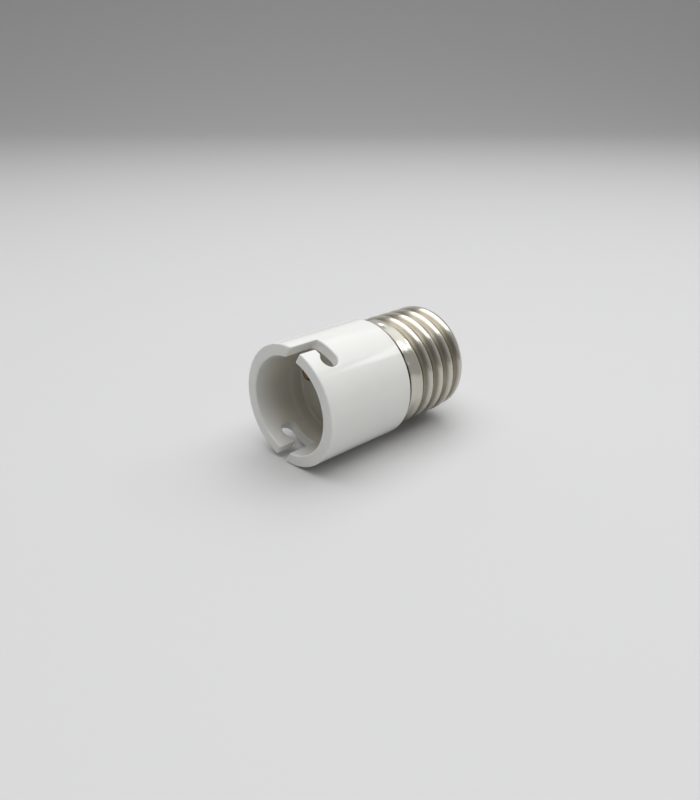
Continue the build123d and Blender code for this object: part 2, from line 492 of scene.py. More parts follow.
@dataclass(frozen=True)
class PlatedSheet(Finish):
    """Plated sheet, drawn and rolled: bright crests, roots darkened by painted shade with some grime, a painted shadow
    along the joint and fine rolling marks.
    """

    # Painted shade with some grime: the thread's roots are tinted towards this dark brown, unevenly in patches.
    root_shade_and_grime_colour: Colour = (0.235, 0.208, 0.152)
    root_roughness: float = 0.36
    groove_span: Flat = (0.12, 0.75)
    # Painted shadow: the collar's first millimetre next to the barrel's shoulder is tinted near black.
    joint_shadow_colour: Colour = (0.07, 0.065, 0.055)
    mark_scale: float = 900.0
    mark_detail: float = 3.0
    mark_stretch: Place = (0.12, 2.0, 0.12)
    mark_roughness: float = 0.06
    root_patch_scale: float = 240.0
    root_patch_detail: float = 4.0
    root_patch_least: float = 0.65
    root_patch_gain: float = 0.5

    def surface(self, wiring: Wiring) -> Surface:
        """Crests, roots darkened by painted shade with some grime, and rolling marks.

        Args:
            wiring: the material's tree.

        Returns:
            What varies over the sheet.
        """
        groove = wiring.attribute("groove").ramp(*self.groove_span)
        marks = wiring.noise(self.mark_scale, self.mark_detail, self.mark_stretch)
        root_patches = wiring.noise(self.root_patch_scale, self.root_patch_detail)
        # Painted shade with some grime in the roots, varied in patches.
        shaded_and_grimy = groove * (self.root_patch_least + self.root_patch_gain * root_patches)
        colour = wiring.mix(shaded_and_grimy.at_most(1.0), self.colour, self.root_shade_and_grime_colour)
        # Painted shadow along the collar's edge at the joint.
        colour = wiring.mix(wiring.attribute("joint"), colour, self.joint_shadow_colour)
        roughness = self.roughness + shaded_and_grimy * (self.root_roughness - self.roughness)
        roughness = roughness + (marks - NOISE_MIDDLE) * self.mark_roughness
        return Surface(colour, roughness, marks)


@dataclass(frozen=True)
class TarnishedMetal(Finish):
    """Bare metal with patches of tarnish and fine scratches."""

    tarnish: Colour = (0.46, 0.315, 0.15)
    patch_scale: float = 500.0
    patch_detail: float = 4.0
    patch_span: Flat = (0.35, 0.65)
    patch_roughness: float = 0.15
    scratch_scale: float = 1500.0
    scratch_detail: float = 2.0
    scratch_stretch: Place = (1.0, 0.2, 1.0)
    scratch_roughness: float = 0.08

    def surface(self, wiring: Wiring) -> Surface:
        """Metal under patches of tarnish.

        Args:
            wiring: the material's tree.

        Returns:
            What varies over the metal.
        """
        patches = wiring.noise(self.patch_scale, self.patch_detail)
        scratches = wiring.noise(self.scratch_scale, self.scratch_detail, self.scratch_stretch)
        covered = patches.ramp(*self.patch_span)
        colour = wiring.mix(covered, self.colour, self.tarnish)
        roughness = self.roughness + covered * self.patch_roughness
        roughness = roughness + (scratches - NOISE_MIDDLE) * self.scratch_roughness
        return Surface(colour, roughness, scratches)


@dataclass(frozen=True)
class PinWithPaintedEdgeShade(TarnishedMetal):
    """Tarnished metal with painted shade round a pin's edge, which leaves its tip lighter."""

    # Painted shade: the pin is tinted near black towards its edge.
    edge_shade_colour: Colour = (0.05, 0.04, 0.03)
    edge_shade_span: Flat = (0.45, 0.75)

    def surface(self, wiring: Wiring) -> Surface:
        """Metal with painted shade round its edge.

        Args:
            wiring: the material's tree.

        Returns:
            What varies over the pin.
        """
        base = super().surface(wiring)
        edge = wiring.attribute("edge").ramp(*self.edge_shade_span)
        return Surface(wiring.mix(edge, base.colour, self.edge_shade_colour), base.roughness, base.relief)


PLASTIC = MouldedPlastic("white_moulded_plastic", (0.80, 0.80, 0.775), roughness=0.12)
NOSE_PLASTIC = MouldedPlastic("insulator_plastic", (0.76, 0.755, 0.71), roughness=0.42, relief_strength=0.12)
PLATING = PlatedSheet("plated_sheet", (0.59, 0.568, 0.505), roughness=0.19)
BRASS = TarnishedMetal("tarnished_brass", (0.64, 0.46, 0.23), roughness=0.32)
PIN = PinWithPaintedEdgeShade("worn_brass_pin", (0.42, 0.26, 0.13), roughness=0.34, tarnish=(0.26, 0.15, 0.08))
STEEL = TarnishedMetal(
    "spring_steel_wire",
    (0.50, 0.49, 0.47),
    roughness=0.32,
    relief_strength=0.12,
    tarnish=(0.30, 0.27, 0.23),
)


@dataclass(frozen=True)
class Axis:
    """A turning axis along the frame's Y, with its start at a piece's front."""

    start: Vector

    def point(self, radius: float, angle: float, along: float) -> Vector:
        """Place in the frame of a point about the axis.

        Args:
            radius: distance from the axis.
            angle: angle from the top.
            along: distance from the axis's start.

        Returns:
            The point in metres.
        """
        turn = math.radians(angle)
        return self.start + Vector((radius * math.sin(turn), along, radius * math.cos(turn))) * MM

    @staticmethod
    def direction(out: float, around: float, forward: float, angle: float) -> Vector:
        """Unit vector from its parts at an angle.

        Args:
            out: part away from the axis.
            around: part towards growing angles.
            forward: part along the axis.
            angle: angle from the top.

        Returns:
            The unit vector.
        """
        turn = math.radians(angle)
        across = out * math.sin(turn) + around * math.cos(turn)
        up = out * math.cos(turn) - around * math.sin(turn)
        return Vector((across, forward, up)).normalized()

    def beside(self, radius: float, angle: float) -> "Axis":
        """Axis that runs beside this one."""
        return Axis(self.point(radius, angle, 0.0))


class Corner(NamedTuple):
    """Corner of a turned outline, with the radius that rounds it."""

    radius: float
    along: float
    rounding: float = 0.0


class OutlinePoint(NamedTuple):
    """Point of a turned outline and the way its surface faces."""

    radius: float
    along: float
    out: float
    forward: float


def rounded_outline(corners: Sequence[Corner]) -> list[OutlinePoint]:
    """Trace an open outline with rounded corners; the surface faces to the right of the way it runs.

    Args:
        corners: the outline's corners in order.

    Returns:
        Points with their facing; arcs are divided into short steps.
    """
    places = [np.array((corner.radius, corner.along)) for corner in corners]
    runs = [(after - before) / np.linalg.norm(after - before) for before, after in zip(places, places[1:])]
    facings = [np.array((run[1], -run[0])) for run in runs]
    points = [OutlinePoint(*places[0], *facings[0])]
    for number in range(1, len(corners) - 1):
        place, rounding = places[number], corners[number].rounding
        before, after = facings[number - 1], facings[number]
        run_in, run_out = runs[number - 1], runs[number]
        bend = run_in[0] * run_out[1] - run_in[1] * run_out[0]
        turn = math.atan2(bend, float(run_in @ run_out))
        side = 1.0 if bend > 0 else -1.0
        centre = place - run_in * rounding * math.tan(abs(turn) / 2) - side * rounding * before
        steps = max(LEAST_ARC_STEPS, round(math.degrees(abs(turn)) / ARC_STEP))
        for step in range(steps + 1):
            share = turn * step / steps
            facing = np.array((
                before[0] * math.cos(share) - before[1] * math.sin(share),
                before[0] * math.sin(share) + before[1] * math.cos(share),
            ))
            points.append(OutlinePoint(*(centre + side * rounding * facing), *facing))
    points.append(OutlinePoint(*places[-1], *facings[-1]))
    return points


class Draft:
    """Points, facings and faces of one closed piece."""

    def __init__(self) -> None:
        """Start with nothing."""
        self.places: list[Vector] = []
        self.facings: list[Vector] = []
        self.faces: list[list[int]] = []
        self.known: dict[tuple[float, float, float], int] = {}

    def point(self, place: Vector, facing: Vector) -> int:
        """Add a point, or find the one that is there.

        Args:
            place: point in metres.
            facing: unit vector that its surface faces.

        Returns:
            The point's number.
        """
        key = tuple(round(value, MERGE_DIGITS) + 0.0 for value in place)
        if key not in self.known:
            self.known[key] = len(self.places)
            self.places.append(place)
            self.facings.append(facing)
        return self.known[key]

    def face(self, corners: Iterable[int]) -> None:
        """Add a face, turned to agree with the facing of its corners.

        Args:
            corners: numbers of its points; repeats are dropped.
        """
        loop = list(dict.fromkeys(corners))
        if len(loop) < 3:
            return
        places = [self.places[number] for number in loop]
        normal = Vector((0.0, 0.0, 0.0))
        for before, after in zip(places, places[1:] + places[:1]):
            normal += (before - places[0]).cross(after - places[0])
        wanted = sum((self.facings[number] for number in loop), Vector((0.0, 0.0, 0.0)))
        self.faces.append(loop if normal.dot(wanted) >= 0 else loop[::-1])

    def strip(self, first: Sequence[int], second: Sequence[int]) -> None:
        """Join two lines of points with four-sided faces."""
        for corners in zip(first, first[1:], second[1:], second):
            self.face(corners)

    def turned(self, axis: Axis, outline: Sequence[OutlinePoint], count: int, first: float = 0.0) -> None:
        """Turn an outline round an axis.

        Args:
            axis: the axis.
            outline: the outline's points.
            count: steps round the axis.
            first: angle of the first step.
        """
        angles = [first + 360.0 * step / count for step in range(count)]
        lines = []
        for spot in outline:
            line = []
            for angle in angles:
                facing = axis.direction(spot.out, 0.0, spot.forward, angle)
                line.append(self.point(axis.point(spot.radius, angle, spot.along), facing))
            lines.append(line + line[:1])
        for first, second in zip(lines, lines[1:]):
            self.strip(first, second)

    def disc(self, axis: Axis, along: float, forward: float, loops: Sequence[Sequence[Flat]]) -> None:
        """Fill a flat face across an axis, with holes.

        Args:
            axis: the axis.
            along: the face's place.
            forward: one if it faces along the axis, minus one if it faces back.
            loops: outer edge and holes, as points across and up from the axis.
        """
        facing = Vector((0.0, forward, 0.0))
        places, triangles = fill(loops)
        lift = Vector((0.0, along * MM, 0.0))
        numbers = [self.point(axis.start + lift + Vector((x, 0.0, z)) * MM, facing) for x, z in places]
        for triangle in triangles:
            self.face(numbers[corner] for corner in triangle)

    def piece(self, name: str, finish: Finish) -> bpy.types.Object:
        """Make the piece's object.

        Args:
            name: the piece's name.
            finish: its finish.

        Returns:
            The object, at the origin, with smooth faces and its own facings.
        """
        mesh = bpy.data.meshes.new(name)
        mesh.from_pydata(self.places, [], self.faces)
        mesh.shade_smooth()
        mesh.materials.append(finish.material())
        mesh.normals_split_custom_set_from_vertices(self.facings)
        return add_object(name, mesh)


def turned_piece(
    name: str,
    finish: Finish,
    axis: Axis,
    count: int,
    corners: Sequence[Corner],
) -> bpy.types.Object:
    """Turn a piece from the corners of its outline.

    Args:
        name: the piece's name.
        finish: its finish.
        axis: the axis that it is turned round.
        count: steps round the axis.
        corners: the outline's corners, on the axis or closed.

    Returns:
        The finished piece.
    """
    draft = Draft()
    draft.turned(axis, rounded_outline(corners), count)
    return draft.piece(name, finish)


def circle(centre: Flat, radius: float, count: int, first: float = 0.0) -> list[Flat]:
    """Points of a circle across the axis, in step with a turned ring.

    Args:
        centre: the circle's middle, across and up.
        radius: its radius.
        count: number of points.
        first: angle of the first point.

    Returns:
        Points across and up.
    """
    turns = [math.radians(first + 360.0 * step / count) for step in range(count)]
    return [(centre[0] + radius * math.sin(turn), centre[1] + radius * math.cos(turn)) for turn in turns]


def inside(spots: np.ndarray, loops: Sequence[Sequence[Flat]]) -> np.ndarray:
    """Tell which spots lie within an outline and outside its holes.

    Args:
        spots: places, one to a row.
        loops: closed outlines.

    Returns:
        True for each spot that is inside.
    """
    found = np.zeros(len(spots), bool)
    for loop in loops:
        ring = np.array(loop)
        for start, end in zip(ring, np.roll(ring, -1, axis=0)):
            if start[1] == end[1]:
                continue
            spans = (start[1] > spots[:, 1]) != (end[1] > spots[:, 1])
            reach = start[0] + (spots[:, 1] - start[1]) * (end[0] - start[0]) / (end[1] - start[1])
            found ^= spans & (spots[:, 0] < reach)
    return found


def clearance(spots: np.ndarray, loop: Sequence[Flat]) -> np.ndarray:
    """Distance of each spot from a closed outline.

    Args:
        spots: places, one to a row.
        loop: the outline.

    Returns:
        The least distance of each spot.
    """
    least = np.full(len(spots), np.inf)
    ring = np.array(loop)
    for start, end in zip(ring, np.roll(ring, -1, axis=0)):
        run = end - start
        length = float(run @ run)
        if length == 0.0:
            continue
        share = np.clip((spots - start) @ run / length, 0.0, 1.0)
        least = np.minimum(least, np.linalg.norm(spots - start - share[:, None] * run, axis=1))
    return least


def fill(loops: Sequence[Sequence[Flat]], extra: Sequence[Flat] = ()) -> tuple[list[Flat], list[list[int]]]:
    """Divide a flat outline with holes into triangles.

    Args:
        loops: the outer edge and the holes.
        extra: further points inside.

    Returns:
        The points, and each triangle's point numbers.
    """
    places: list[Flat] = []
    edges: list[tuple[int, int]] = []
    for loop in loops:
        first = len(places)
        places.extend(loop)
        edges.extend((first + step, first + (step + 1) % len(loop)) for step in range(len(loop)))
    places.extend(extra)
    corners = [Vector(place) for place in places]
    _, _, faces, sources, *_ = delaunay_2d_cdt(corners, edges, [], HULL_TRIANGLES, FILL_GAP)
    triangles = [[sources[corner][0] for corner in face] for face in faces]
    middles = np.array([np.mean([places[corner] for corner in face], axis=0) for face in triangles])
    kept = inside(middles, loops)
    return places, [face for face, keep in zip(triangles, kept) if keep]


class EdgePoint(NamedTuple):
    """Point of the wall's cut edge, drawn flat, and the way that edge faces."""

    across: float
    depth: float
    face_across: float
    face_depth: float

    def inset(self, distance: float) -> Flat:
        """Place at a distance from the edge into the wall."""
        return self.across - distance * self.face_across, self.depth - distance * self.face_depth


@dataclass
class BayonetSlot:
    """One bayonet slot, drawn flat from the locked pin's place and down from the rim."""

    entry_middle: float = -4.9
    entry_width: float = 2.65
    leg_width: float = 3.0
    back_depth: float = 7.5
    pocket_radius: float = 1.95
    edge_radius: float = 0.5
    inner_radius: float = 0.35
    step: float = 0.6
    arc_step: float = 15.0

    def edge(self, reach: float) -> list[EdgePoint]:
        """Trace the rim and the slot along half of the barrel.

        Args:
            reach: flat distance from the slot's middle to each end.

        Returns:
            Points from the left end along the rim, round the slot, and on to the right end.
        """
        left = self.entry_middle - self.entry_width / 2
        right = self.entry_middle + self.entry_width / 2
        front = self.back_depth - self.leg_width
        pocket_depth = self.back_depth - self.pocket_radius
        keeper_depth = front - self.edge_radius
        spread = self.pocket_radius + self.edge_radius
        keeper_across = -math.sqrt(spread ** 2 - (pocket_depth - keeper_depth) ** 2)
        cusp = math.degrees(math.atan2(pocket_depth - keeper_depth, -keeper_across))
        out: list[EdgePoint] = []
        self._line(out, (-reach, 0.0), (left - self.edge_radius, 0.0), (0.0, -1.0))
        self._arc(out, (left - self.edge_radius, self.edge_radius), self.edge_radius, -90.0, 0.0, 1.0)
        low = self.back_depth - self.inner_radius
        self._line(out, (left, self.edge_radius), (left, low), (1.0, 0.0))
        self._arc(out, (left + self.inner_radius, low), self.inner_radius, 180.0, 90.0, -1.0)
        self._line(out, (left + self.inner_radius, self.back_depth), (0.0, self.back_depth), (0.0, -1.0))
        self._arc(out, (0.0, pocket_depth), self.pocket_radius, 90.0, cusp - 180.0, -1.0)
        self._arc(out, (keeper_across, keeper_depth), self.edge_radius, cusp, 90.0, 1.0)
        corner = right + self.edge_radius
        self._line(out, (keeper_across, front), (corner, front), (0.0, 1.0))
        self._arc(out, (corner, keeper_depth), self.edge_radius, 90.0, 180.0, 1.0)
        self._line(out, (right, keeper_depth), (right, self.edge_radius), (-1.0, 0.0))
        self._arc(out, (corner, self.edge_radius), self.edge_radius, 180.0, 270.0, 1.0)
        self._line(out, (corner, 0.0), (reach, 0.0), (0.0, -1.0))
        return out

    def _line(self, out: list[EdgePoint], start: Flat, end: Flat, facing: Flat) -> None:
        """Add a straight stretch of edge, divided evenly.

        Args:
            out: the edge so far.
            start: where the stretch begins.
            end: where it ends.
            facing: the way it faces.
        """
        steps = max(1, round(math.dist(start, end) / self.step))
        for number in range(steps + 1):
            share = number / steps
            spot = [a + (b - a) * share for a, b in zip(start, end)]
            self._add(out, EdgePoint(*spot, *facing))

    def _arc(
        self,
        out: list[EdgePoint],
        centre: Flat,
        radius: float,
        first: float,
        last: float,
        side: float,
    ) -> None:
        """Add a round stretch of edge.

        Args:
            out: the edge so far.
            centre: the arc's centre.
            radius: its radius.
            first: angle at which it begins.
            last: angle at which it ends.
            side: one if it faces away from its centre, minus one if towards it.
        """
        steps = max(LEAST_ARC_STEPS, round(abs(last - first) / self.arc_step))
        for number in range(steps + 1):
            turn = math.radians(first + (last - first) * number / steps)
            across, down = math.cos(turn), math.sin(turn)
            spot = (centre[0] + radius * across, centre[1] + radius * down)
            self._add(out, EdgePoint(*spot, side * across, side * down))

    @staticmethod
    def _add(out: list[EdgePoint], spot: EdgePoint) -> None:
        """Add a point unless the last one is there already."""
        if not out or math.dist(out[-1][:2], spot[:2]) > SAME_SPOT:
            out.append(spot)


@dataclass
class HolderBody:
    """White moulding: barrel with the bayonet socket, the bored block behind it and the neck."""

    axis: Axis
    radius: float
    neck_end: float
    slot_angle: float = 33.0
    barrel_length: float = 24.3
    socket_radius: float = 11.25
    socket_step_depth: float = 9.7
    socket_taper: float = 1.2
    socket_floor_radius: float = 11.08
    socket_depth: float = 13.6
    wall_depth: float = 9.3
    rim_rounding: float = 0.42
    mouth_rounding: float = 0.42
    shoulder_rounding: float = 0.35
    floor_rounding: float = 0.8
    small_rounding: float = 0.12
    neck_radius: float = 12.4
    neck_bore_radius: float = 10.55
    block_end: float = 22.4
    partition_end: float = 16.3
    plunger_offset: float = 6.2
    hole_radius: float = 2.1
    guide_radius: float = 2.85
    flat_reach: float = 7.5
    count: int = 180
    hole_count: int = 48
    grid: float = 0.75
    grid_clearance: float = 0.45
    fillet_steps: int = 5

    def build(self) -> bpy.types.Object:
        """Build and dress the moulding.

        Returns:
            The finished piece.
        """
        draft = Draft()
        for turn in (0.0, 180.0):
            self._wall(draft, self.slot_angle + turn)
        self._outside(draft)
        self._socket_shade(draft)
        self._bores(draft)
        return draft.piece("holder_moulding", PLASTIC)

    @property
    def reach(self) -> float:
        """Flat distance from a slot's middle to a quarter turn from it."""
        return self.flat_reach + self.radius * (math.pi / 2 - math.asin(self.flat_reach / self.radius))

    @property
    def floor_face(self) -> float:
        """Radius of the flat part of the socket's floor."""
        return self.socket_floor_radius - 2 * self.floor_rounding

    @property
    def back_face(self) -> float:
        """Radius of the flat part of the block's back."""
        return self.neck_bore_radius - 2 * self.small_rounding

    def _angle(self, across: float, radius: float) -> float:
        """Turn a flat distance into an angle; near the slot the drawing is projected and not wrapped.

        Args:
            across: flat distance from the slot's middle.
            radius: distance from the axis.

        Returns:
            The angle from the slot's middle.
        """
        if abs(across) <= self.flat_reach:
            return math.degrees(math.asin(across / radius))
        edge = math.degrees(math.asin(self.flat_reach / radius))
        share = (abs(across) - self.flat_reach) / (self.reach - self.flat_reach)
        return math.copysign(edge + share * (90.0 - edge), across)

    def _across(self, angle: float, radius: float) -> float:
        """Turn an angle back into a flat distance.

        Args:
            angle: angle from the slot's middle.
            radius: distance from the axis.

        Returns:
            The flat distance from the slot's middle.
        """
        edge = math.degrees(math.asin(self.flat_reach / radius))
        if abs(angle) <= edge:
            return radius * math.sin(math.radians(angle))
        share = (abs(angle) - edge) / (90.0 - edge)
        return math.copysign(self.flat_reach + share * (self.reach - self.flat_reach), angle)

    def _wall(self, draft: Draft, middle: float) -> None:
        """Make half of the barrel's front wall, with one slot and the rim.

        Args:
            draft: the piece under construction.
            middle: the slot's angle.
        """
        edge = BayonetSlot().edge(self.reach)
        rows = []
        quarter = [math.pi / 2 * step / self.fillet_steps for step in range(self.fillet_steps + 1)]
        for turn in quarter:
            inset = self.rim_rounding * (1 - math.sin(turn))
            radius = self.radius - self.rim_rounding * (1 - math.cos(turn))
            rows.append((inset, radius, math.sin(turn), math.cos(turn)))
        for turn in quarter:
            inset = self.mouth_rounding * (1 - math.cos(turn))
            radius = self.socket_radius + self.mouth_rounding * (1 - math.sin(turn))
            rows.append((inset, radius, math.cos(turn), -math.sin(turn)))
        lines = []
        for inset, radius, face_edge, face_out in rows:
            lines.append([
                self._edge_point(draft, spot, inset, radius, face_edge, face_out, middle) for spot in edge
            ])
        for first, second in zip(lines, lines[1:]):
            draft.strip(first, second)
        self._skin(draft, edge, self.rim_rounding, self.radius, 1.0, middle)
        self._skin(draft, edge, self.mouth_rounding, self.socket_radius, -1.0, middle)

    def _edge_point(
        self,
        draft: Draft,
        spot: EdgePoint,
        inset: float,
        radius: float,
        face_edge: float,
        face_out: float,
        middle: float,
    ) -> int:
        """Add a point of the wall's cut edge.

        Args:
            draft: the piece under construction.
            spot: the edge's point.
            inset: distance from the edge into the wall.
            radius: distance from the axis.
            face_edge: part of its facing that follows the edge's.
            face_out: part of its facing away from the axis.
            middle: the slot's angle.

        Returns:
            The point's number.
        """
        across, depth = spot.inset(inset)
        turn = self._angle(across, radius)
        along = self.axis.direction(0.0, 1.0, 0.0, middle) * spot.face_across * face_edge
        facing = along + Vector((0.0, spot.face_depth * face_edge, 0.0))
        facing += self.axis.direction(1.0, 0.0, 0.0, middle + turn) * face_out
        return draft.point(self.axis.point(radius, middle + turn, depth), facing.normalized())

    def _skin(
        self,
        draft: Draft,
        edge: Sequence[EdgePoint],
        inset: float,
        radius: float,
        out: float,
        middle: float,
    ) -> None:
        """Fill the outer or inner face of half of the front wall.

        Args:
            draft: the piece under construction.
            edge: the rim and the slot.
            inset: distance from the edge at which the face begins.
            radius: the face's radius.
            out: one if it faces away from the axis, minus one if towards it.
            middle: the slot's angle.
        """
        top = [spot.inset(inset) for spot in edge]
        quarter = self.count // 4
        angles = [360.0 / self.count * number for number in range(quarter, -quarter - 1, -1)]
        lower = [(self._across(angle, radius), self.wall_depth) for angle in angles]
        rows = round(self.wall_depth / self.grid)
        side = [inset + (self.wall_depth - inset) * number / rows for number in range(1, rows)]
        right = [(self.reach, depth) for depth in side]
        left = [(-self.reach, depth) for depth in side[::-1]]
        loop = top + right + lower + left
        columns = round(2 * self.reach / self.grid)
        spots = np.array([
            (-self.reach + 2 * self.reach * (column + 0.5) / columns, self.wall_depth * (row + 0.5) / rows)
            for column in range(columns)
            for row in range(rows)
        ])
        kept = inside(spots, [loop]) & (clearance(spots, loop) > self.grid_clearance * self.grid)
        places, triangles = fill([loop], [tuple(spot) for spot in spots[kept]])
        numbers = []
        for across, depth in places:
            turn = middle + self._angle(across, radius)
            facing = self.axis.direction(out, 0.0, 0.0, turn)
            numbers.append(draft.point(self.axis.point(radius, turn, depth), facing))
        for triangle in triangles:
            draft.face(numbers[corner] for corner in triangle)

    def _outside(self, draft: Draft) -> None:
        """Turn the barrel behind the slots, its shoulder and the neck.

        Args:
            draft: the piece under construction.
        """
        small = self.small_rounding
        outline = rounded_outline([
            Corner(self.radius, self.wall_depth),
            Corner(self.radius, self.barrel_length, self.shoulder_rounding),
            Corner(self.neck_radius, self.barrel_length, small),
            Corner(self.neck_radius, self.neck_end, small),
            Corner(self.neck_bore_radius, self.neck_end, small),
            Corner(self.neck_bore_radius, self.block_end, small),
            Corner(self.back_face, self.block_end),
        ])
        draft.turned(self.axis, outline, self.count, self.slot_angle)

    def _socket_shade(self, draft: Draft) -> None:
        """Turn the socket's lower wall down to its floor.

        Args:
            draft: the piece under construction.
        """
        outline = rounded_outline([
            Corner(self.floor_face, self.socket_depth),
            Corner(self.socket_floor_radius, self.socket_depth, self.floor_rounding),
            Corner(self.socket_floor_radius, self.socket_step_depth + self.socket_taper, self.socket_taper),
            Corner(self.socket_radius, self.socket_step_depth, self.socket_taper),
            Corner(self.socket_radius, self.wall_depth),
        ])
        draft.turned(self.axis, outline, self.count, self.slot_angle)

    def _bores(self, draft: Draft) -> None:
        """Bore the plunger holes and spring guides, and close the faces that they open on.

        Args:
            draft: the piece under construction.
        """
        small = self.small_rounding
        hole_edge = self.hole_radius + 2 * small
        guide_edge = self.guide_radius + 2 * small
        middle = (0.0, 0.0)
        floor = [circle(middle, self.floor_face, self.count, self.slot_angle)]
        back = [circle(middle, self.back_face, self.count, self.slot_angle)]
        for angle in (self.slot_angle - 90.0, self.slot_angle + 90.0):
            bore = self.axis.beside(self.plunger_offset, angle)
            outline = rounded_outline([
                Corner(guide_edge, self.block_end),
                Corner(self.guide_radius, self.block_end, small),
                Corner(self.guide_radius, self.partition_end, small),
                Corner(self.hole_radius, self.partition_end, small),
                Corner(self.hole_radius, self.socket_depth, small),
                Corner(hole_edge, self.socket_depth),
            ])
            draft.turned(bore, outline, self.hole_count)
            turn = math.radians(angle)
            middle = (self.plunger_offset * math.sin(turn), self.plunger_offset * math.cos(turn))
            floor.append(circle(middle, hole_edge, self.hole_count))
            back.append(circle(middle, guide_edge, self.hole_count))
        draft.disc(self.axis, self.socket_depth, -1.0, floor)
        draft.disc(self.axis, self.block_end, 1.0, back)


class Rule:
    """A shape written as Geometry Nodes with named inputs."""

    def __init__(self, name: str, sizes: dict[str, float]) -> None:
        """Start the tree.

        Args:
            name: the tree's name.
            sizes: values of its named inputs.
        """
        self.sizes = sizes
        self.tree = bpy.data.node_groups.new(name, "GeometryNodeTree")
        for size in sizes:
            self.tree.interface.new_socket(size, in_out="INPUT", socket_type="NodeSocketFloat")
        self.tree.interface.new_socket("Geometry", in_out="OUTPUT", socket_type="NodeSocketGeometry")
        self.wiring = Wiring(self.tree)
        self.size = {size: self.wiring.node("NodeGroupInput", output=size) for size in sizes}

    def close(self, shape: Field, finish: Finish) -> None:
        """Close the tree with smooth faces and a finish.

        Args:
            shape: the shape as worked out.
            finish: its finish.
        """
        shape = self.wiring.node("GeometryNodeSetShadeSmooth", None, {0: shape})
        shape = self.wiring.node("GeometryNodeRealizeInstances", None, {"Geometry": shape})
        sockets = {"Geometry": shape, "Material": finish.material()}
        self.wiring.node_end("NodeGroupOutput", self.wiring.node("GeometryNodeSetMaterial", None, sockets))

    def piece(self, name: str, sheet: float = 0.0) -> bpy.types.Object:
        """Work the rule out as a plain piece.

        Args:
            name: the piece's name.
            sheet: thickness that the shape gets inwards; zero leaves it as it is.

        Returns:
            The piece, with no modifier left on it.
        """
        mesh = bpy.data.meshes.new(f"{name}_draft")
        draft = add_object(f"{name}_draft", mesh)
        rule = draft.modifiers.new("rule", "NODES")
        rule.node_group = self.tree
        for item in self.tree.interface.items_tree:
            if item.in_out == "INPUT":
                rule[item.identifier] = self.sizes[item.name]
        if sheet:
            wall = draft.modifiers.new("sheet", "SOLIDIFY")
            wall.thickness = sheet * MM
            wall.offset = -1.0
        graph = bpy.context.evaluated_depsgraph_get()
        plain = bpy.data.meshes.new_from_object(draft.evaluated_get(graph), depsgraph=graph)
        plain.name = name
        bpy.data.objects.remove(draft)
        bpy.data.meshes.remove(mesh)
        return add_object(name, plain)


class Dent(NamedTuple):
    """A stake pressed into the cap's collar: its middle, depth and half sizes."""

    angle: float
    along: float
    depth: float
    half_around: float = 1.7
    half_along: float = 1.3


